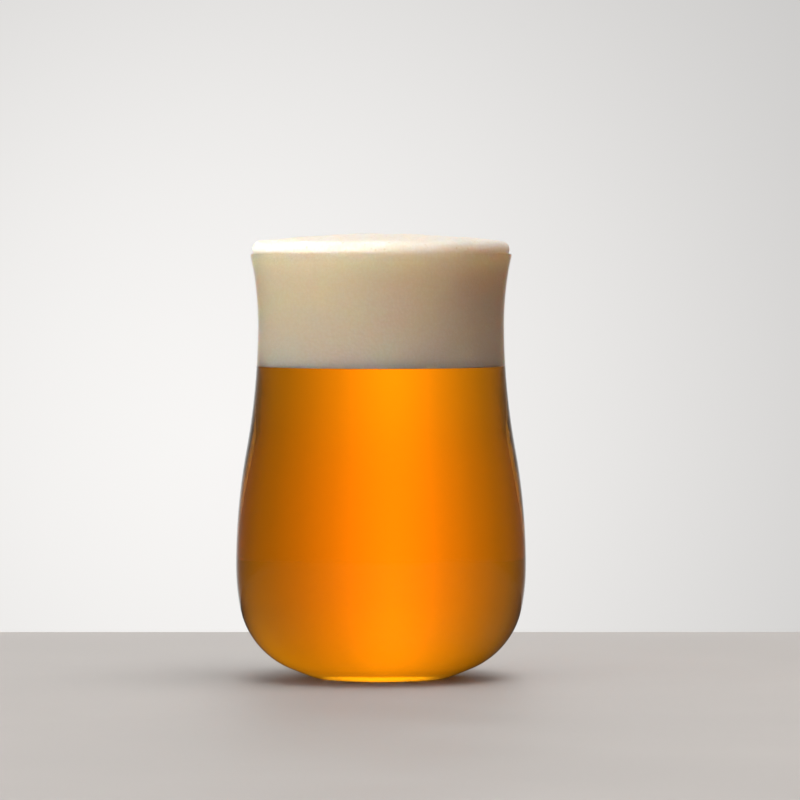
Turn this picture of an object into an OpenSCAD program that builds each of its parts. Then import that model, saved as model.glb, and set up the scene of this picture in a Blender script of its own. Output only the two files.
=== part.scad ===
// Stemless tulip beer glass, poured full: a blown glass, the beer in it and the head of foam on the beer.
// Every piece is turned about the Z axis, and the foot of the glass stands on z = 0.
// An outline is a list of [radius, height] points that run up a piece along arcs that meet without a kink.

/* [Bowl] */
// Height of the glass, from the bottom of the foot to the top of the lip
glass_h = 125; // [118:0.5:134]
// Widest diameter, at the belly
belly_d = 85.5; // [80:0.5:92]
// Height of the belly above the bottom of the foot
belly_h = 33; // [29:0.5:40]
// Narrowest diameter, at the waist
waist_d = 72.6; // [67:0.1:75]
// Height of the neck, from the waist up to the top of the lip
neck_h = 21; // [14:0.5:30]
// Outside diameter of the lip
rim_d = 77; // [75.5:0.1:82]
// Share of the rise from belly to waist over which the outline bulges before it turns hollow
swell_share = 0.48; // [0.3:0.01:0.7]

/* [Foot and heel] */
// Diameter of the foot, measured to the sharp corner that its rounded edge takes off
foot_d = 39.5; // [36:0.5:46]
// Radius of the rounded edge of the foot
foot_edge_r = 2; // [0.5:0.1:4]
// Slope of the underside between the foot and the heel, in degrees
underside_slope = 20.5; // [14:0.5:26]
// Radius of the heel, where the underside turns up into the side
heel_r = 24.5; // [18:0.5:28]
// Radius of the outline between the heel and the belly
lower_belly_r = 66; // [54:1:90]
// Diameter of the shallow hollow under the foot
punt_d = 31; // [20:0.5:33]
// Depth of the hollow under the foot
punt_depth = 1.2; // [0.4:0.1:2]

/* [Wall] */
// Thickness of the base, from the bottom of the foot to the floor of the bowl
base_t = 4.5; // [3.5:0.1:8]
// Thickness of the wall at the belly
belly_wall = 1.8; // [1.2:0.1:3]
// Thickness of the wall from the waist up, which is also the thickness of the lip
lip_wall = 1.4; // [0.9:0.1:2.2]

/* [Drink] */
// Depth of the head, from the top of the lip down to the beer
head_h = 33.5; // [10:0.5:60]
// Height of the foam's crown above the lip
crown_h = 5.4; // [4.8:0.1:9]
// Radius of the rounded edge of the crown, which laps over the inner half of the lip
crown_edge_r = 2.2; // [1.2:0.1:2.6]
// Distance from the middle of the lip back to the crown's edge
crown_inset = 0.1; // [0:0.05:0.4]
// Gap that stands for the wetted contact between the drink and the glass
wet_gap = 0.05; // [0.02:0.01:0.2]

/* [Hidden] */

// Most that a chord may stray from its true arc
chord_error = 0.01;
// Sides of each turned piece on screen
$fn = 180;

belly_r = belly_d / 2;
waist_r = waist_d / 2;
waist_h = glass_h - neck_h;
beer_level = glass_h - head_h;
foot_r = foot_d / 2;
punt_r = punt_d / 2;
lip_r = lip_wall / 2;

// The middle of the wall sweeps up from the waist to the middle of the lip along one arc
lip_middle = [rim_d / 2 - lip_r, glass_h - lip_r];
flare_rise = lip_middle.y - waist_h;
flare_reach = lip_middle.x - (waist_r - lip_r);
flare_r = (pow(flare_rise, 2) + pow(flare_reach, 2)) / (2 * flare_reach);
flare_middle = [waist_r - lip_r + flare_r, waist_h];
flare_turn = asin(flare_rise / flare_r);

// The rounded edge takes this much off each side of the foot's corner
foot_corner = [foot_r, 0];
foot_edge_cut = foot_edge_r * tan(underside_slope / 2);

// The hollow under the foot is the cap of a sphere
punt_sphere_r = (pow(punt_r, 2) + pow(punt_depth, 2)) / (2 * punt_depth);
punt_middle = [0, punt_depth - punt_sphere_r];
punt_turn = asin(punt_r / punt_sphere_r);

// The crown's edge rests on the round of the lip, and runs into the cap of a large sphere
crown_top = glass_h + crown_h;
crown_edge_x = lip_middle.x - crown_inset - crown_edge_r;
crown_edge_reach = crown_edge_r + lip_r + wet_gap;
crown_edge_turn = acos((lip_middle.x - crown_edge_x) / crown_edge_reach);
crown_edge_middle = [crown_edge_x, lip_middle.y + crown_edge_reach * sin(crown_edge_turn)];
crown_drop = crown_top - crown_edge_middle.y;
crown_sphere_r = (pow(crown_edge_x, 2) + pow(crown_drop, 2) - pow(crown_edge_r, 2))
    / (2 * (crown_drop - crown_edge_r));
crown_middle = [0, crown_top - crown_sphere_r];
crown_turn = direction(crown_edge_middle - crown_middle);

// Unit vector at an angle, and the angle of a vector
function unit(angle) = [cos(angle), sin(angle)];
function direction(vector) = atan2(vector.y, vector.x);

function backwards(points) = [for (i = [len(points) - 1 : -1 : 0]) points[i]];

// Points of an arc from its start up to, but without, its end. A radius below zero bends the other way.
function arc(middle, r, from, to) =
    let (steps = ceil(abs(to - from) / (2 * acos(1 - chord_error / abs(r)))))
    [for (i = [0 : steps - 1]) middle + r * unit(from + (to - from) * i / steps)];

// One side of the bowl, from a straight stretch under it up to the waist.
// The heel touches the straight stretch below it and lies inside the arc of the lower belly.
// Its radius is limited so that the straight stretch keeps at least its shortest length.
// Above the belly, one bulging and one hollow arc share the rise to the waist.
function bowl_side(base_point, slope, shortest, wanted_heel, lower, belly, waist) =
    let (
        lower_middle = [belly - lower, belly_h],
        along = unit(slope),
        across = unit(slope + 90),
        nearest = base_point + shortest * along - lower_middle,
        largest_heel = (pow(lower, 2) - nearest * nearest) / (2 * (lower + nearest * across)),
        heel = min(wanted_heel, largest_heel),
        back = base_point + heel * across - lower_middle,
        run = sqrt(pow(lower - heel, 2) - pow(back * across, 2)) - back * along,
        heel_middle = base_point + heel * across + run * along,
        heel_end = direction(heel_middle - lower_middle),
        rise = waist_h - belly_h,
        side_turn = 2 * atan((belly - waist) / rise),
        swell_r = swell_share * rise / sin(side_turn),
        hollow_r = (1 - swell_share) * rise / sin(side_turn)
    )
    concat(
        arc(heel_middle, heel, slope - 90, heel_end),
        arc(lower_middle, lower, heel_end, 0),
        arc([belly - swell_r, belly_h], swell_r, 0, side_turn),
        arc([waist + hollow_r, waist_h], hollow_r, 180 + side_turn, 180)
    );

// The lip's stretch of wall, at a distance from the middle of the wall towards the axis
function flare(inwards) = arc(flare_middle, flare_r + inwards, 180, 180 - flare_turn);

// Inside of the bowl up to the lip, drawn in by a gap
function bowl_inside(gap) = concat(
    [[0, base_t + gap]],
    bowl_side(
        [0, base_t + gap],
        0,
        foot_edge_cut,
        heel_r - belly_wall - gap,
        lower_belly_r - belly_wall - gap,
        belly_r - belly_wall - gap,
        waist_r - lip_wall - gap
    ),
    flare(lip_r + gap)
);

// Outside of the glass from the middle of the foot up to the lip
function glass_outside() = concat(
    arc(punt_middle, punt_sphere_r, 90, 90 - punt_turn),
    [[punt_r, 0]],
    arc([foot_r - foot_edge_cut, foot_edge_r], foot_edge_r, -90, underside_slope - 90),
    [foot_corner + foot_edge_cut * unit(underside_slope)],
    bowl_side(
        foot_corner,
        underside_slope,
        2 * foot_edge_cut,
        heel_r,
        lower_belly_r,
        belly_r,
        waist_r
    ),
    flare(-lip_r)
);

// Half section of the glass: up the inside, over the round lip and down the outside
module glass_section() {
    polygon(concat(
        bowl_inside(0),
        arc(lip_middle, lip_r, 180 - flare_turn, 90),
        arc(lip_middle, lip_r, 90, -flare_turn),
        [lip_middle + lip_r * unit(-flare_turn)],
        backwards(glass_outside())
    ));
}

// Half section of the whole drink: up the wall, round the lip, over the crown's edge and up the crown
module drink_section() {
    polygon(concat(
        bowl_inside(wet_gap),
        arc(lip_middle, lip_r + wet_gap, 180 - flare_turn, 180 - crown_edge_turn),
        arc(crown_edge_middle, crown_edge_r, -crown_edge_turn, crown_turn),
        arc(crown_middle, crown_sphere_r, crown_turn, 90),
        [[0, crown_top]]
    ));
}

// Everything below the top of the beer
module below_beer_level() {
    square([belly_d, beer_level]);
}

module glass() {
    color([0.86, 0.91, 0.92, 0.35])
        rotate_extrude()
            glass_section();
}

module beer() {
    color([0.95, 0.52, 0.02, 0.85])
        rotate_extrude()
            intersection() {
                drink_section();
                below_beer_level();
            }
}

module foam_head() {
    color([0.95, 0.90, 0.80])
        rotate_extrude()
            difference() {
                drink_section();
                below_beer_level();
            }
}

glass();
beer();
foam_head();
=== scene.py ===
# %% [markdown]
# A stemless tulip beer glass, poured full
#
# The object has three bodies that are all turned about one upright axis: a blown glass, the amber
# beer in it, and the head of foam on the beer. The CAD model gives their exact outlines. This lesson
# reads those outlines back, turns them into fine meshes, and then spends its effort on what makes a
# drink look real: light that bends in glass and beer, colour that deepens with the way through the
# beer, and foam that glows a little inside.

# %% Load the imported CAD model
import math

import bmesh
import bpy
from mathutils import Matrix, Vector, noise


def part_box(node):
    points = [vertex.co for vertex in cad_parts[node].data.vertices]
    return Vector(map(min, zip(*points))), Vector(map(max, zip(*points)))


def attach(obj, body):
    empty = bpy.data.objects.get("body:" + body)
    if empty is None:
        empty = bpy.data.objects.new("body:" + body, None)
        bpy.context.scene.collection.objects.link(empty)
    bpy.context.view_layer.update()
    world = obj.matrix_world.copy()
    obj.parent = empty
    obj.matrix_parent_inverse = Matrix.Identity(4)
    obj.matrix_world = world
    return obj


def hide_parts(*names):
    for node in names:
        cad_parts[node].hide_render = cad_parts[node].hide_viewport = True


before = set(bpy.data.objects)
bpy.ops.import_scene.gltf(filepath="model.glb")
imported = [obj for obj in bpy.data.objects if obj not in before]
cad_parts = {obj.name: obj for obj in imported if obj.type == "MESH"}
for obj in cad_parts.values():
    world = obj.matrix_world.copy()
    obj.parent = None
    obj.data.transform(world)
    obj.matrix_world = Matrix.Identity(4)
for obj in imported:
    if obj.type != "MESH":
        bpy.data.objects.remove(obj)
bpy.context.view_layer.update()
MM = 0.001

# %% [markdown]
# Reading the outline of a turned piece
#
# A turned piece is known once its half section is known: the line that runs from the axis, round the
# piece, and back to the axis. It could be typed in again point by point, but then the picture and the
# CAD model could drift apart. Here a copy of each CAD mesh is cut in two along the axis, and the cut
# edges are walked from one end on the axis to the other.

# %% Cut a CAD mesh along its axis and walk the cut
SAME_POINT = 0.002 * MM


def half_section(node_name):
    """The (radius, height) points of a turned piece, in order from its lower end on the axis."""
    solid = bmesh.new()
    solid.from_mesh(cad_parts[node_name].data)
    bmesh.ops.remove_doubles(solid, verts=solid.verts, dist=SAME_POINT)
    # The first cut keeps the half where x is above 0. The second runs along y = 0 and gives the section.
    for normal, clear_inner in (((1, 0, 0), True), ((0, 1, 0), False)):
        everything = solid.verts[:] + solid.edges[:] + solid.faces[:]
        cut = bmesh.ops.bisect_plane(
            solid,
            geom=everything,
            dist=SAME_POINT,
            plane_co=(0, 0, 0),
            plane_no=normal,
            clear_inner=clear_inner,
        )
    cut_edges = [part for part in cut["geom_cut"] if isinstance(part, bmesh.types.BMEdge)]
    neighbours = {}
    for edge in cut_edges:
        for here, there in (edge.verts, reversed(edge.verts)):
            neighbours.setdefault(here, []).append(there)
    ends = [vertex for vertex, others in neighbours.items() if len(others) == 1]
    here = min(ends, key=lambda vertex: vertex.co.z)
    before = None
    outline = []
    while here is not None:
        outline.append(Vector((max(here.co.x, 0.0), here.co.z)))
        onward = [vertex for vertex in neighbours[here] if vertex is not before]
        before = here
        here = onward[0] if onward else None
    solid.free()
    return outline


outlines = {name: half_section(name) for name in ("glass", "beer", "foam_head")}
for name, outline in outlines.items():
    print(name, "outline:", len(outline), "points, from", tuple(outline[0]), "to", tuple(outline[-1]))

# %% [markdown]
# A smooth line through the points
#
# The CAD outline is a chain of short straight chords. Light that passes through glass shows every such
# chord as a faint band, so the chain is smoothed first. A subdivision surface would shrink the piece a
# little. A curve that passes through the points keeps its size, so that is used here. Real corners,
# such as the sharp edge of the beer's surface, are left sharp.

# %% Smooth an outline without moving its points
CORNER_TURN = math.radians(40)
STRAIGHT_TURN = math.radians(0.02)
FINEST_TURN = math.radians(2)


def turn_at(before, here, after):
    """How far the outline turns at a point, in radians."""
    return (here - before).angle(after - here, 0.0)


def without_straights(points):
    """The outline without the points that lie in the middle of a straight stretch."""
    kept = [points[0]]
    for here, after in zip(points[1:], points[2:]):
        if (here - kept[-1]).length > SAME_POINT and turn_at(kept[-1], here, after) > STRAIGHT_TURN:
            kept.append(here)
    return kept + [points[-1]]


def tangents(points):
    """The ways in which the outline arrives at each point and leaves it. They differ only at a corner."""
    mirrored_start = Vector((-points[1].x, points[1].y))
    mirrored_end = Vector((-points[-2].x, points[-2].y))
    around = [mirrored_start, *points, mirrored_end]
    pairs = []
    for before, here, after in zip(around, points, around[2:]):
        back, onward = here - before, after - here
        if turn_at(before, here, after) > CORNER_TURN:
            pairs.append((back.normalized(), onward.normalized()))
        else:
            shared = back / back.length_squared + onward / onward.length_squared
            pairs.append((shared.normalized(), shared.normalized()))
    return pairs


def smooth_outline(points, longest):
    """Points on a smooth curve through an outline, no further apart than longest."""
    points = without_straights(points)
    ways = tangents(points)
    smooth = []
    for i, (start, end) in enumerate(zip(points, points[1:])):
        leave, arrive = ways[i][1], ways[i + 1][0]
        chord = (end - start).length
        bend = leave.angle(arrive, 0.0)
        steps = max(1, math.ceil(chord / longest), math.ceil(bend / FINEST_TURN))
        for step in range(steps):
            # A Hermite curve runs through both points, along the tangent at each.
            t = step / steps
            place = start * (1 + 2 * t) * (1 - t) ** 2 + end * t * t * (3 - 2 * t)
            place += chord * (leave * t * (1 - t) ** 2 - arrive * t * t * (1 - t))
            smooth.append(Vector((max(place.x, 0.0), place.y)))
    return smooth + [points[-1]]


GLASS_STEP = 2 * MM
glass_line = smooth_outline(outlines["glass"], GLASS_STEP)
print("glass outline:", len(outlines["glass"]), "points in the CAD,", len(glass_line), "when smooth")

# %% [markdown]
# Turning an outline into a mesh
#
# Blender's Screw modifier turns a line about an axis, but it leaves doubled points where the line meets
# the axis. The helper here makes one ring of points for each point of the outline and one single point
# at each end, so that the mesh is closed and its normals are clean at the middle of the foot and on
# the top of the foam. A piece may bring its own rule that moves a point a little. Faces are shaded
# smooth, but a real corner, such as the edge of the beer's surface, is marked sharp: a smoothed normal
# there would bend light the wrong way and leave a black wedge under the foam.

# %% Make a closed mesh from an outline
SHARP_EDGE = math.radians(60)
CUBIC_CM = (10 * MM) ** 3


def signed_volume(mesh):
    """The volume inside a closed mesh, below zero where its faces look inwards."""
    measure = bmesh.new()
    measure.from_mesh(mesh)
    volume = measure.calc_volume(signed=True)
    measure.free()
    return volume


def turn(name, outline, sides, moved=None):
    """A closed mesh: the outline turned about the Z axis, with a pole at each end."""
    rings = outline[1:-1]
    points = [Vector((0, 0, outline[0].y))]
    for place in rings:
        for side in range(sides):
            angle = math.tau * side / sides
            points.append(Vector((place.x * math.cos(angle), place.x * math.sin(angle), place.y)))
    points.append(Vector((0, 0, outline[-1].y)))
    last = len(points) - 1
    last_ring = 1 + (len(rings) - 1) * sides
    around = [(side, (side + 1) % sides) for side in range(sides)]
    faces = [(0, 1 + after, 1 + side) for side, after in around]
    for low in range(1, last_ring, sides):
        high = low + sides
        faces += [(low + side, low + after, high + after, high + side) for side, after in around]
    faces += [(last, last_ring + side, last_ring + after) for side, after in around]
    if moved:
        points = [moved(point) for point in points]
    mesh = bpy.data.meshes.new(name)
    mesh.from_pydata(points, [], faces)
    mesh.polygons.foreach_set("use_smooth", [True] * len(faces))
    mesh.set_sharp_from_angle(angle=SHARP_EDGE)
    if signed_volume(mesh) < 0:
        mesh.flip_normals()
    piece = bpy.data.objects.new(name, mesh)
    bpy.context.scene.collection.objects.link(piece)
    return piece


def report(piece):
    """Prints the size of a piece's mesh and the volume inside it."""
    volume = signed_volume(piece.data) / CUBIC_CM
    print(piece.name, "has", len(piece.data.polygons), "faces and holds", round(volume, 1), "cubic cm")


print("edges that turn by more than", round(math.degrees(SHARP_EDGE)), "degrees stay sharp")

# %% [markdown]
# The glass
#
# A stemless tulip is blown in one piece. Its wall is thick in the foot and thins towards the lip, and
# the lip is melted round. All of that is in the outline, so the glass needs no other modelling: it is
# turned once, inside and outside together, as one closed skin. That matters, because the renderer can
# bend light only where it knows which side of a skin is glass.

# %% Turn the glass
SIDES = 192
glass = turn("tulip_glass", glass_line, SIDES)
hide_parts("glass")
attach(glass, "root")
report(glass)

# %% [markdown]
# The beer
#
# Beer wets the glass, so there is no air between them. If the two meshes only touched, the renderer
# would find air in the gap and the edges of the drink would turn to mirrors. The beer's mesh is
# therefore grown until it reaches a tenth of a millimetre into the wall.

# %% Turn the beer
WETTING = 0.15 * MM
BEER_STEP = 2.5 * MM
# A corner moves out further than a flat side does, but no more than twice as far.
SHARPEST_CORNER = 0.5


def grown(outline, distance):
    """An outline moved outwards by a distance, with its ends kept on the axis."""
    moved = []
    for place, (arrive, leave) in zip(outline, tangents(outline)):
        along = (arrive + leave).normalized()
        outwards = Vector((along.y, -along.x))
        corner = max(outwards.dot(Vector((leave.y, -leave.x))), SHARPEST_CORNER)
        place = place + outwards * distance / corner
        moved.append(Vector((max(place.x, 0.0), place.y)))
    moved[0].x = 0.0
    moved[-1].x = 0.0
    return moved


beer_line = grown(smooth_outline(outlines["beer"], BEER_STEP), WETTING)
beer = turn("amber_beer", beer_line, SIDES)
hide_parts("beer")
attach(beer, "root")
report(beer)

# %% [markdown]
# The head of foam
#
# A head is a heap of bubbles. Most are too fine to see, so against the glass it is smooth, but where it
# stands above the rim its skin is a cobble of small domes on soft swells. A bump in the material could
# suggest this, but not at the outline, so the crown is turned finely and each of its points is moved
# outwards a little. A Voronoi pattern gives the domes: its cells are packed as bubbles are. The foam
# wets the glass as the beer does, and its underside dips into the beer by a hair, so no air lies between.

# %% Turn the foam and raise its bubbles
FOAM_SIDES = 360
FOAM_STEP = 0.55 * MM
BUBBLE_SIZE = 2.1 * MM
BUBBLE_RISE = 0.2 * MM
BUBBLE_REACH = 0.8
# The upper half of each dome rises above the outline of the foam, and its lower half sinks below.
DOME_MIDDLE = 0.5
SWELL_SIZE = 13 * MM
SWELL_RISE = 0.3 * MM
FREE_HEIGHT = 2 * MM
# Points move mostly upwards, away from a place on the axis that lies this far below them.
CROWN_LIFT = 90 * MM
FOAM_DIP = 0.02 * MM
rim_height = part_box("glass")[1].z
beer_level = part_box("beer")[1].z


def bubbled(point):
    """A point of the foam, raised by the bubble and the swell under it where the foam is free."""
    free = min(max((point.z - rim_height) / FREE_HEIGHT, 0.0), 1.0)
    if free == 0.0:
        return point
    from_middle = noise.voronoi(point / BUBBLE_SIZE)[0][0] / BUBBLE_REACH
    dome = math.sqrt(max(1 - from_middle ** 2, 0.0)) - DOME_MIDDLE
    swell = noise.noise(point / SWELL_SIZE)
    outwards = Vector((point.x, point.y, CROWN_LIFT)).normalized()
    return point + outwards * free * (BUBBLE_RISE * dome + SWELL_RISE * swell)


foam_line = grown(smooth_outline(outlines["foam_head"], FOAM_STEP), WETTING)
lowest_foam = beer_line[-1].y - FOAM_DIP
foam_line = [Vector((place.x, max(place.y, lowest_foam))) for place in foam_line]
foam = turn("foam_head_piece", foam_line, FOAM_SIDES, bubbled)
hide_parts("foam_head")
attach(foam, "root")
report(foam)


# %% [markdown]
# A little help with nodes
#
# A material in Blender is a graph. One helper makes a node with its values. A second gives a piece a
# fresh material with the Principled BSDF, the shader that every finish here starts from. Two more turn
# a value into a colour, and the height of a point into a share.

# %% Node helpers
def add_node(tree, kind, values=None, **settings):
    """One node in a tree, with its settings and the values of its inputs."""
    made = tree.nodes.new("ShaderNode" + kind)
    for key, value in settings.items():
        setattr(made, key, value)
    for key, value in (values or {}).items():
        made.inputs[key].default_value = value
    return made


def new_material(piece, name, values):
    """A material on a piece: its node tree, its Principled BSDF and its output."""
    material = bpy.data.materials.new(name)
    material.use_nodes = True
    tree = material.node_tree
    tree.nodes.clear()
    output = add_node(tree, "OutputMaterial")
    surface = add_node(tree, "BsdfPrincipled", values)
    tree.links.new(surface.outputs["BSDF"], output.inputs["Surface"])
    piece.data.materials.clear()
    piece.data.materials.append(material)
    return tree, surface, output


def colour_ramp(tree, factor, stops, interpolation="LINEAR"):
    """A node that turns a value from 0 to 1 into a colour, through (place, colour) stops."""
    made = add_node(tree, "ValToRGB")
    band = made.color_ramp
    band.interpolation = interpolation
    while len(band.elements) < len(stops):
        band.elements.new(1.0)
    for element, (place, colour) in zip(band.elements, stops):
        element.position = place
        element.color = (*colour, 1)
    tree.links.new(factor, made.inputs["Fac"])
    return made.outputs["Color"]


def height_share(tree, low, high):
    """How high a point of the piece lies between two heights, from 0 to 1."""
    place = add_node(tree, "TexCoord")
    parts = add_node(tree, "SeparateXYZ")
    share = add_node(tree, "MapRange", {"From Min": low, "From Max": high})
    tree.links.new(place.outputs["Object"], parts.inputs["Vector"])
    tree.links.new(parts.outputs["Z"], share.inputs["Value"])
    return share.outputs["Result"]


print("materials start from the Principled BSDF")

# %% [markdown]
# Soft mottle, a shared effect
#
# No blown glass, poured drink or floor is perfectly even. One node group makes a soft mottle, and each
# material sets how large it is and between which two values it runs. A group is built once and placed
# in many materials, so a change to it reaches all of them.

# %% The mottle group
CLOUD_DETAIL = 3.0
CLOUD_ROUGHNESS = 0.5
CLOUD_DARKEST = 0.3
CLOUD_PALEST = 0.7
mottle_group = bpy.data.node_groups.new("soft_mottle", "ShaderNodeTree")
for socket_name in ("Size", "Low", "High"):
    mottle_group.interface.new_socket(socket_name, in_out="INPUT", socket_type="NodeSocketFloat")
mottle_group.interface.new_socket("Value", in_out="OUTPUT", socket_type="NodeSocketFloat")
inlet = mottle_group.nodes.new("NodeGroupInput")
outlet = mottle_group.nodes.new("NodeGroupOutput")
place = add_node(mottle_group, "TexCoord")
per_metre = add_node(mottle_group, "Math", {0: 1.0}, operation="DIVIDE")
clouds = add_node(mottle_group, "TexNoise", {"Detail": CLOUD_DETAIL, "Roughness": CLOUD_ROUGHNESS})
span = add_node(mottle_group, "MapRange", {"From Min": CLOUD_DARKEST, "From Max": CLOUD_PALEST})
mottle_group.links.new(inlet.outputs["Size"], per_metre.inputs[1])
mottle_group.links.new(place.outputs["Object"], clouds.inputs["Vector"])
mottle_group.links.new(per_metre.outputs["Value"], clouds.inputs["Scale"])
mottle_group.links.new(clouds.outputs["Fac"], span.inputs["Value"])
mottle_group.links.new(inlet.outputs["Low"], span.inputs["To Min"])
mottle_group.links.new(inlet.outputs["High"], span.inputs["To Max"])
mottle_group.links.new(span.outputs["Result"], outlet.inputs["Value"])


def add_mottle(tree, size, low, high):
    """The mottle group placed in a material, with patches of a size and values from low to high."""
    made = tree.nodes.new("ShaderNodeGroup")
    made.node_tree = mottle_group
    made.inputs["Size"].default_value = size
    made.inputs["Low"].default_value = low
    made.inputs["High"].default_value = high
    return made.outputs["Value"]


print("group:", mottle_group.name, "with", len(mottle_group.nodes), "nodes")

# %% [markdown]
# Finish: clear blown glass
#
# Clear glass has hardly any colour of its own. What shows is how it bends light, so the shader is full
# transmission with the index of soda-lime glass. Three small things keep it from looking like perfect
# crystal. Iron in the sand tints the thick foot a faint green. Hands and drying leave the gloss a little
# uneven. And glass that is blown and cools has a slow wave in its skin, which a Bump node gives.

# %% Glass material
GLASS_INDEX = 1.5
FOOT_GREEN = (0.955, 0.98, 0.962)
WALL_CLEAR = (0.985, 0.99, 0.985)
THICK_FOOT = 14 * MM
GLOSS_PATCH = 30 * MM
ROUGHEST_GLASS = 0.02
WAVE_LENGTH = 16 * MM
WAVE_DEPTH = 0.03 * MM
tree, surface, _ = new_material(
    glass, "clear_glass", {"Transmission Weight": 1.0, "IOR": GLASS_INDEX}
)
tint = colour_ramp(tree, height_share(tree, 0.0, THICK_FOOT), [(0.0, FOOT_GREEN), (1.0, WALL_CLEAR)])
wave = add_node(tree, "Bump", {"Strength": 1.0, "Distance": WAVE_DEPTH})
tree.links.new(tint, surface.inputs["Base Color"])
tree.links.new(add_mottle(tree, GLOSS_PATCH, 0.0, ROUGHEST_GLASS), surface.inputs["Roughness"])
tree.links.new(add_mottle(tree, WAVE_LENGTH, 0.0, 1.0), wave.inputs["Height"])
tree.links.new(wave.outputs["Normal"], surface.inputs["Normal"])
print("glass material:", len(tree.nodes), "nodes")

# %% [markdown]
# The wetted inside of the glass
#
# A face with beer or foam against it mirrors almost nothing, because the light meets no air there. The
# renderer sees the two skins one after the other and would mirror at both. So the inner faces take a
# copy of the glass with its reflection turned nearly off.

# %% Wetted glass material
NO_MIRROR = (0.02, 0.02, 0.02, 1)
wetted = glass.data.materials[0].copy()
wetted.name = "wetted_glass"
wetted.node_tree.nodes["Principled BSDF"].inputs["Specular Tint"].default_value = NO_MIRROR
glass.data.materials.append(wetted)
# Faces lie in rows, one for each ring: up the outside to the lip, then down the inside.
lip_ring = max(range(len(glass_line)), key=lambda i: glass_line[i].y)
for index, polygon in enumerate(glass.data.polygons):
    polygon.material_index = int(index // SIDES > lip_ring)
print("wetted faces:", sum(polygon.material_index for polygon in glass.data.polygons))

# %% [markdown]
# Finish: amber beer
#
# Beer is coloured all through, so its colour belongs in its volume: Volume Absorption takes a share of
# the light for each millimetre of the way. Red passes almost freely, green is worn down to a fifth
# across the belly, and blue is gone within a few centimetres. That one setting makes the drink paler
# where it is thin and deep amber where it is wide. A trace of haze, in colour and in gloss, stands for
# the yeast and protein that a fresh beer carries.

# %% Beer material
BEER_INDEX = 1.34
BEER_PASSES = (0.99, 0.8, 0.0, 1)
BEER_STRENGTH = 100.0
HAZE_CLOUD = 24 * MM
HAZY = (1.0, 0.985, 0.96)
BRIGHT = (1.0, 1.0, 1.0)
ROUGHEST_BEER = 0.01
tree, surface, output = new_material(
    beer, "amber_beer", {"Transmission Weight": 1.0, "IOR": BEER_INDEX, "Specular Tint": NO_MIRROR}
)
depth = add_node(tree, "VolumeAbsorption", {"Color": BEER_PASSES, "Density": BEER_STRENGTH})
tree.links.new(depth.outputs["Volume"], output.inputs["Volume"])
haze = colour_ramp(tree, add_mottle(tree, HAZE_CLOUD, 0.0, 1.0), [(0.0, HAZY), (1.0, BRIGHT)])
tree.links.new(haze, surface.inputs["Base Color"])
tree.links.new(add_mottle(tree, HAZE_CLOUD, 0.0, ROUGHEST_BEER), surface.inputs["Roughness"])
print("beer material:", len(tree.nodes), "nodes")

# %% [markdown]
# Finish: cream foam
#
# Foam is white because each bubble scatters light, and cream because beer clings between the bubbles.
# It is whitest in hue in the free crown, where it has drained, and warmest in the neck. Its tone by
# height also holds painted light. A painted glow makes it palest in a band just under the rim, where
# light scatters down from the crown. Painted shade keeps the crown itself darker than that band, against
# the strong light on its top. Light also wanders in it, so the shader has subsurface scattering, with
# red going furthest as it does in beer. A diffuse shader alone would look like plaster.

# %% Foam material: tones with painted light, and scattering
# The stop at 0.92 is a painted glow, palest just under the rim. The stop at 1.0 is painted shade: the
# crown is darker there so that the light on its top does not burn it out.
FOAM_TONES_WITH_PAINTED_LIGHT = [
    (0.0, (0.89, 0.805, 0.72)),
    (0.3, (0.93, 0.83, 0.715)),
    (0.75, (0.96, 0.86, 0.705)),
    (0.92, (0.97, 0.905, 0.77)),
    (1.0, (0.84, 0.82, 0.775)),
]
FOAM_REACH = 13 * MM
FOAM_REACH_BY_COLOUR = (1.0, 0.68, 0.45)
FOAM_SMOOTHEST = 0.6
FOAM_ROUGHEST = 0.8
tree, surface, _ = new_material(
    foam,
    "cream_foam",
    {
        "Subsurface Weight": 1.0,
        "Subsurface Radius": FOAM_REACH_BY_COLOUR,
        "Subsurface Scale": FOAM_REACH,
    },
)
tones_with_painted_light = colour_ramp(tree, height_share(tree, beer_level, rim_height), FOAM_TONES_WITH_PAINTED_LIGHT)
foam_gloss = add_mottle(tree, SWELL_SIZE, FOAM_SMOOTHEST, FOAM_ROUGHEST)
tree.links.new(foam_gloss, surface.inputs["Roughness"])
print("foam tones:", len(FOAM_TONES_WITH_PAINTED_LIGHT), "from the beer to the rim")

# %% [markdown]
# Bubbles in the foam
#
# Seen close, foam is a packing of bubbles with thin seams of beer between them. A Voronoi texture packs
# its cells in the same way. Its distance from the middle of a cell gives both the darker seam and the
# dome of the bubble.

# %% Foam material: bubble cells
CELL_SIZE = 0.9 * MM
CELL_REACH = 0.75
CELL_RISE = 0.06 * MM
BEER_SEAM = (0.9, 0.82, 0.68, 1)
SEAM_WEIGHT = 0.35
place = add_node(tree, "TexCoord").outputs["Object"]
cells = add_node(tree, "TexVoronoi", {"Scale": 1 / CELL_SIZE})
seams = add_node(tree, "MapRange", {"From Max": CELL_REACH, "To Max": SEAM_WEIGHT})
domes = add_node(tree, "MapRange", {"From Max": CELL_REACH, "To Min": 1.0, "To Max": 0.0})
stained = add_node(tree, "MixRGB", {"Color2": BEER_SEAM}, blend_type="MULTIPLY")
tree.links.new(place, cells.inputs["Vector"])
tree.links.new(cells.outputs["Distance"], seams.inputs["Value"])
tree.links.new(cells.outputs["Distance"], domes.inputs["Value"])
tree.links.new(seams.outputs["Result"], stained.inputs["Fac"])
tree.links.new(tones_with_painted_light, stained.inputs["Color1"])
print("bubble cells:", round(CELL_SIZE / MM, 2), "mm")

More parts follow.
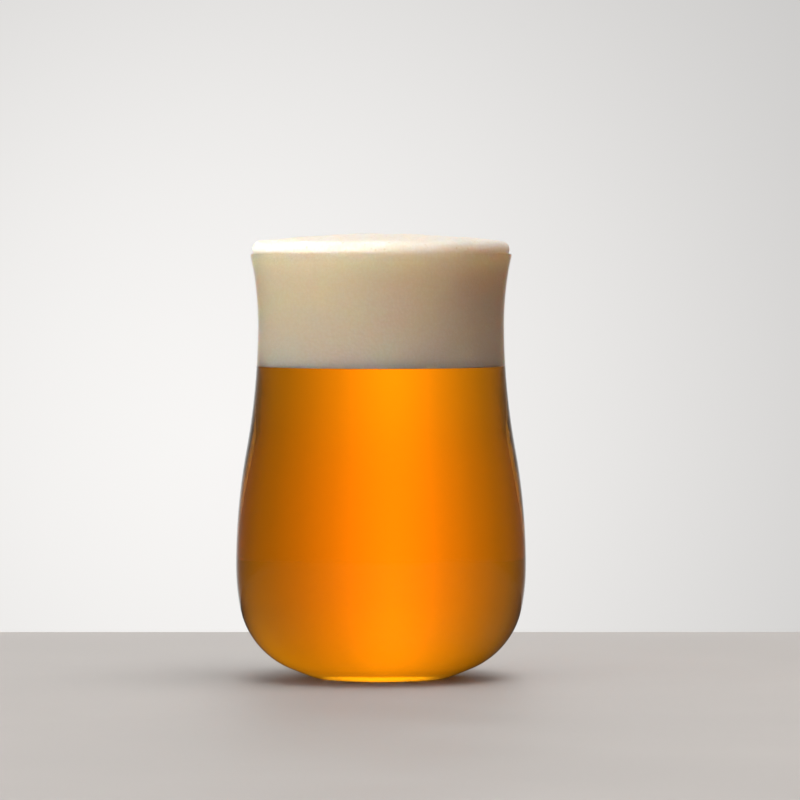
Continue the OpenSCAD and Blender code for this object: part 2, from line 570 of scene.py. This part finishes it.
# %% [markdown]
# Burst bubbles in the crown
#
# Where the head meets the air its larger bubbles burst and leave small pits. A second Voronoi pattern
# places them, and the random colour of each cell says how wide its pit is, so that no two are alike.
# They fade out at the rim, because foam that is pressed against glass keeps its bubbles.

# %% Foam material: pits of burst bubbles
PIT_SPACING = 1.4 * MM
PIT_REACH = 0.36
PIT_SMALLEST = 0.01
# Up to the first of these random values a cell has the smallest pit, and from the second the widest.
SMALLEST_PIT_DRAW = 0.3
WIDEST_PIT_DRAW = 0.8
PIT_START = 1 * MM
PIT_TONE = (0.8, 0.7, 0.55, 1)
pits = add_node(tree, "TexVoronoi", {"Scale": 1 / PIT_SPACING})
pit_width = add_node(
    tree,
    "MapRange",
    {
        "From Min": SMALLEST_PIT_DRAW,
        "From Max": WIDEST_PIT_DRAW,
        "To Min": PIT_SMALLEST,
        "To Max": PIT_REACH,
    },
)
pit = add_node(tree, "MapRange", {"To Min": 1.0, "To Max": 0.0})
free_pit = add_node(tree, "Math", operation="MULTIPLY")
pitted = add_node(tree, "MixRGB", {"Color2": PIT_TONE}, blend_type="MULTIPLY")
relief = add_node(tree, "Math", operation="SUBTRACT")
raised = add_node(tree, "Bump", {"Strength": 1.0, "Distance": CELL_RISE})
tree.links.new(place, pits.inputs["Vector"])
tree.links.new(pits.outputs["Color"], pit_width.inputs["Value"])
tree.links.new(pits.outputs["Distance"], pit.inputs["Value"])
tree.links.new(pit_width.outputs["Result"], pit.inputs["From Max"])
tree.links.new(pit.outputs["Result"], free_pit.inputs[0])
tree.links.new(height_share(tree, rim_height, rim_height + PIT_START), free_pit.inputs[1])
tree.links.new(free_pit.outputs["Value"], pitted.inputs["Fac"])
tree.links.new(stained.outputs["Color"], pitted.inputs["Color1"])
tree.links.new(domes.outputs["Result"], relief.inputs[0])
tree.links.new(free_pit.outputs["Value"], relief.inputs[1])
tree.links.new(relief.outputs["Value"], raised.inputs["Height"])
tree.links.new(pitted.outputs["Color"], surface.inputs["Base Color"])
tree.links.new(raised.outputs["Normal"], surface.inputs["Normal"])
print("foam material:", len(tree.nodes), "nodes")

# %% [markdown]
# The floor
#
# A plain pale slab carries the glass and takes its shadow. It ends a hand's breadth behind the glass,
# so that the light behind shows right down to its edge. A bare plane would do, but it would end in a
# hard line, so the slab has thickness and slightly rounded edges.

# %% Floor slab
FLOOR_BACK = 0.185
FLOOR_FRONT = -1.2
FLOOR_HALF_WIDTH = 1.2
FLOOR_THICK = 0.045
FLOOR_EDGE = 0.002
FLOOR_EDGE_STEPS = 3
ROUND_PROFILE = 0.5
floor_mesh = bpy.data.meshes.new("floor")
slab = bmesh.new()
bmesh.ops.create_cube(slab, size=2.0)
for corner in slab.verts:
    corner.co.x *= FLOOR_HALF_WIDTH
    corner.co.y = FLOOR_BACK if corner.co.y > 0 else FLOOR_FRONT
    corner.co.z = 0.0 if corner.co.z > 0 else -FLOOR_THICK
bmesh.ops.bevel(
    slab,
    geom=slab.edges[:],
    offset=FLOOR_EDGE,
    segments=FLOOR_EDGE_STEPS,
    affect="EDGES",
    profile=ROUND_PROFILE,
)
slab.to_mesh(floor_mesh)
slab.free()
floor = bpy.data.objects.new("floor", floor_mesh)
bpy.context.scene.collection.objects.link(floor)
print("floor:", len(floor_mesh.polygons), "faces")

# %% [markdown]
# Finish: pale floor
#
# The floor is matt and nearly even, with a faint mottle in its tone and its gloss. It is pale to the
# camera, but in reflections, and as a source of bounced light, it acts as a dark one. Otherwise it would
# light the foam from below and wash out the shading that gives the neck its round look. Light Path tells
# the kinds of ray apart, and a Mix Shader picks the pale or the dark finish.

# %% Floor material
FLOOR_PATCH = 0.09
FLOOR_DARKEST = 0.5
FLOOR_PALEST = 0.54
FLOOR_SMOOTHEST = 0.55
FLOOR_ROUGHEST = 0.65
DARK_FLOOR = (0.06, 0.055, 0.05, 1)
tree, surface, output = new_material(floor, "pale_floor", {})
tree.links.new(add_mottle(tree, FLOOR_PATCH, FLOOR_DARKEST, FLOOR_PALEST), surface.inputs["Base Color"])
floor_gloss = add_mottle(tree, FLOOR_PATCH, FLOOR_SMOOTHEST, FLOOR_ROUGHEST)
tree.links.new(floor_gloss, surface.inputs["Roughness"])
path = add_node(tree, "LightPath")
bounced = add_node(tree, "Math", operation="ADD")
indirect = add_node(tree, "Math", operation="SUBTRACT", use_clamp=True)
dark = add_node(tree, "BsdfDiffuse", {"Color": DARK_FLOOR})
mix = add_node(tree, "MixShader")
tree.links.new(path.outputs["Is Glossy Ray"], bounced.inputs[0])
tree.links.new(path.outputs["Diffuse Depth"], bounced.inputs[1])
tree.links.new(bounced.outputs["Value"], indirect.inputs[0])
tree.links.new(path.outputs["Is Transmission Ray"], indirect.inputs[1])
tree.links.new(indirect.outputs["Value"], mix.inputs["Fac"])
tree.links.new(surface.outputs["BSDF"], mix.inputs[1])
tree.links.new(dark.outputs["BSDF"], mix.inputs[2])
tree.links.new(mix.outputs["Shader"], output.inputs["Surface"])
print("floor material:", len(tree.nodes), "nodes")

# %% [markdown]
# Light: patches on a dome
#
# A drink is lit from behind, because its colour comes from light that has passed through it. Lamps
# would do, but each would also show as a hard shape in the glass. Here all light comes from the world,
# a dome far away, on which soft patches are painted by direction. A patch has a middle and a ramp that
# says how bright it is at each angle from there. A colour ramp holds no value above 1, so each ramp
# stores shares of its brightest stop, and a Scale node brings them up to strength.

# %% Helpers for patches of light
HALF_TURN = 180
world = bpy.data.worlds.new("studio")
bpy.context.scene.world = world
world.use_nodes = True
sky = world.node_tree
sky.nodes.clear()
way = add_node(sky, "TexCoord").outputs["Generated"]


def stretched(upwards):
    """The way of each ray with its rise scaled, so that a round patch turns tall or low."""
    scaled = add_node(sky, "VectorMath", {1: (1, 1, upwards)}, operation="MULTIPLY")
    unit = add_node(sky, "VectorMath", operation="NORMALIZE")
    sky.links.new(way, scaled.inputs[0])
    sky.links.new(scaled.outputs["Vector"], unit.inputs[0])
    return unit.outputs["Vector"]


def patch(ways, middle, stops):
    """A soft patch of light, as (angle from its middle in degrees, strength, tint) stops."""
    towards = add_node(sky, "VectorMath", {1: Vector(middle).normalized()}, operation="DOT_PRODUCT")
    angle = add_node(sky, "Math", operation="ARCCOSINE")
    share = add_node(sky, "Math", {1: math.pi}, operation="DIVIDE")
    sky.links.new(ways, towards.inputs[0])
    sky.links.new(towards.outputs["Value"], angle.inputs[0])
    sky.links.new(angle.outputs["Value"], share.inputs[0])
    brightest = max(strength for degrees, strength, tint in stops)
    shares = [
        (degrees / HALF_TURN, [strength / brightest * part for part in tint])
        for degrees, strength, tint in stops
    ]
    colour = colour_ramp(sky, share.outputs["Value"], shares, "B_SPLINE")
    light = add_node(sky, "VectorMath", {"Scale": brightest}, operation="SCALE")
    sky.links.new(colour, light.inputs[0])
    return light.outputs["Vector"]


def together(first, *others):
    """The sum of several patches."""
    total = first
    for other in others:
        both = add_node(sky, "VectorMath", operation="ADD")
        sky.links.new(total, both.inputs[0])
        sky.links.new(other, both.inputs[1])
        total = both.outputs["Vector"]
    return total


print("world:", world.name)

# %% [markdown]
# Light: behind the drink
#
# The backlight is brightest straight behind the drink and falls off to a warm dimness at the sides. It
# is what shows through the beer. Two glimpses are only for rays that come straight through the glass: a
# panel bright enough to light foam would burn out when it is looked at through a drink.

# %% Backlight and glimpses
NEUTRAL = (1.0, 0.985, 0.97)
WARM = (1.0, 0.68, 0.45)
TALL_RISE = 0.33
STRAIGHT_BEHIND = (-0.04, 1.0, 0.0)
ABOVE_BEHIND = (0.0, 0.56, 0.83)
RIGHT_BEHIND = (0.56, 0.6, 0.58)
BACKLIGHT_STOPS = [
    (0, 1.7, NEUTRAL),
    (6, 1.35, NEUTRAL),
    (12, 0.95, NEUTRAL),
    (20, 0.6, NEUTRAL),
    (30, 0.39, NEUTRAL),
    (45, 0.25, NEUTRAL),
    (70, 0.11, WARM),
    (180, 0.06, WARM),
]
GLIMPSE_ABOVE_STOPS = [
    (0, 8.0, NEUTRAL),
    (8, 7.0, NEUTRAL),
    (14, 1.0, NEUTRAL),
    (20, 0.1, NEUTRAL),
    (30, 0.0, NEUTRAL),
]
GLIMPSE_RIGHT_STOPS = [(0, 0.55, NEUTRAL), (15, 0.4, NEUTRAL), (30, 0.08, NEUTRAL), (45, 0.0, NEUTRAL)]
tall = stretched(TALL_RISE)
backlight = patch(tall, STRAIGHT_BEHIND, BACKLIGHT_STOPS)
glimpse_above = patch(way, ABOVE_BEHIND, GLIMPSE_ABOVE_STOPS)
glimpse_right = patch(way, RIGHT_BEHIND, GLIMPSE_RIGHT_STOPS)
print("light through the glass: the backlight and 2 glimpses")

# %% [markdown]
# Light: the panels
#
# Four panels light what scatters, the foam and the floor. A tall one behind the drink throws its shadow
# forwards. A low one at the front left models the neck of foam from left to right, one overhead whitens
# the crown, and a faint amber fill keeps the shaded side warm.

# %% Panels of light
CREAM = (1.0, 0.95, 0.88)
AMBER = (1.0, 0.42, 0.14)
PANEL_RISE = 0.4
LOW_RISE = 3.0
HIGH_BEHIND = (0.0, 0.9, 0.2)
FRONT_LEFT = (-0.76, -0.65, 0.0)
OVERHEAD = (0.12, 0.0, 0.99)
FRONT_RIGHT = (0.8, -0.55, -0.1)
TALL_PANEL_STOPS = [
    (0, 10.0, NEUTRAL),
    (9, 8.8, NEUTRAL),
    (15, 2.5, NEUTRAL),
    (22, 0.2, NEUTRAL),
    (32, 0.0, NEUTRAL),
]
LEFT_PANEL_STOPS = [(0, 35.0, CREAM), (18, 23.5, CREAM), (28, 3.0, CREAM), (38, 0.0, CREAM)]
TOP_PANEL_STOPS = [(0, 6.3, NEUTRAL), (12, 5.2, NEUTRAL), (24, 0.9, NEUTRAL), (36, 0.0, NEUTRAL)]
RIGHT_FILL_STOPS = [(0, 0.26, AMBER), (50, 0.18, AMBER), (90, 0.03, AMBER), (110, 0.0, AMBER)]
tall_panel = patch(stretched(PANEL_RISE), HIGH_BEHIND, TALL_PANEL_STOPS)
left_panel = patch(stretched(LOW_RISE), FRONT_LEFT, LEFT_PANEL_STOPS)
top_panel = patch(way, OVERHEAD, TOP_PANEL_STOPS)
right_fill = patch(way, FRONT_RIGHT, RIGHT_FILL_STOPS)
print("light on foam and floor: 4 panels")

# %% [markdown]
# Light: which rays see what
#
# Light Path tells what kind of ray asks the world for light. The camera sees a pale backdrop, brightest
# behind the glass, where a strength of 1 is white. Mirror images in the glass see a dimmer backlight, so
# that its edges stay fine and dark. Rays through the glass see the backlight and the two glimpses. And
# every ray that has bounced off foam or floor gathers the dimmer backlight and the four panels. Is
# Diffuse Ray would lose such a ray once it has passed the glass, so Diffuse Depth is asked: it still
# counts the bounce.

# %% World shader
BEHIND_THE_BELLY = (-0.035, 1.0, -0.035)
BACKDROP_STOPS = [(0, 0.95, NEUTRAL), (3, 0.88, NEUTRAL), (6, 0.7, NEUTRAL), (9, 0.56, NEUTRAL)]
MIRRORED_STOPS = [
    (0, 1.0, NEUTRAL),
    (12, 0.6, NEUTRAL),
    (22, 0.25, WARM),
    (36, 0.08, WARM),
    (50, 0.04, WARM),
]
backdrop = patch(way, BEHIND_THE_BELLY, BACKDROP_STOPS)
mirrored = patch(tall, STRAIGHT_BEHIND, MIRRORED_STOPS)
through = together(backlight, glimpse_above, glimpse_right)
gathered = together(mirrored, tall_panel, left_panel, top_panel, right_fill)
seen_by = (
    (through, "Is Transmission Ray"),
    (backdrop, "Is Camera Ray"),
    (gathered, "Diffuse Depth"),
)
path = add_node(sky, "LightPath")
background = add_node(sky, "Background")
sky.links.new(mirrored, background.inputs["Color"])
shown = background.outputs["Background"]
for light, kind in seen_by:
    background = add_node(sky, "Background")
    mix = add_node(sky, "MixShader")
    sky.links.new(light, background.inputs["Color"])
    sky.links.new(path.outputs[kind], mix.inputs["Fac"])
    sky.links.new(shown, mix.inputs[1])
    sky.links.new(background.outputs["Background"], mix.inputs[2])
    shown = mix.outputs["Shader"]
output = add_node(sky, "OutputWorld")
sky.links.new(shown, output.inputs["Surface"])
print("world:", len(sky.nodes), "nodes")

# %% [markdown]
# The camera
#
# The rim of the glass is seen exactly edge on, so the camera stands at the height of the rim. A long
# lens from a metre and a half away gives the flat look of a product picture. The camera is tipped down
# a little and stands slightly to the right, so that the glass sits left of the middle.

# %% Camera
DISTANCE = 1.55
# The length of the lens and the place of the glass are measured in pixels of the finished image.
LENS_PIXELS = 5261
IMAGE_PIXELS = 800
SENSOR = 36
GLASS_LEFT_PIXELS = 19.0
LEVEL = math.pi / 2
TIPPED_DOWN = math.radians(1.6)
camera_data = bpy.data.cameras.new("camera")
camera_data.sensor_width = SENSOR
camera_data.lens = SENSOR * LENS_PIXELS / IMAGE_PIXELS
camera = bpy.data.objects.new("camera", camera_data)
camera.location = (GLASS_LEFT_PIXELS / LENS_PIXELS * DISTANCE, -DISTANCE, rim_height)
camera.rotation_euler = (LEVEL - TIPPED_DOWN, 0, 0)
bpy.context.scene.collection.objects.link(camera)
bpy.context.scene.camera = camera
bpy.context.scene.view_settings.view_transform = "Standard"
print("camera: lens", round(camera_data.lens), "mm, height", round(camera.location.z / MM), "mm")
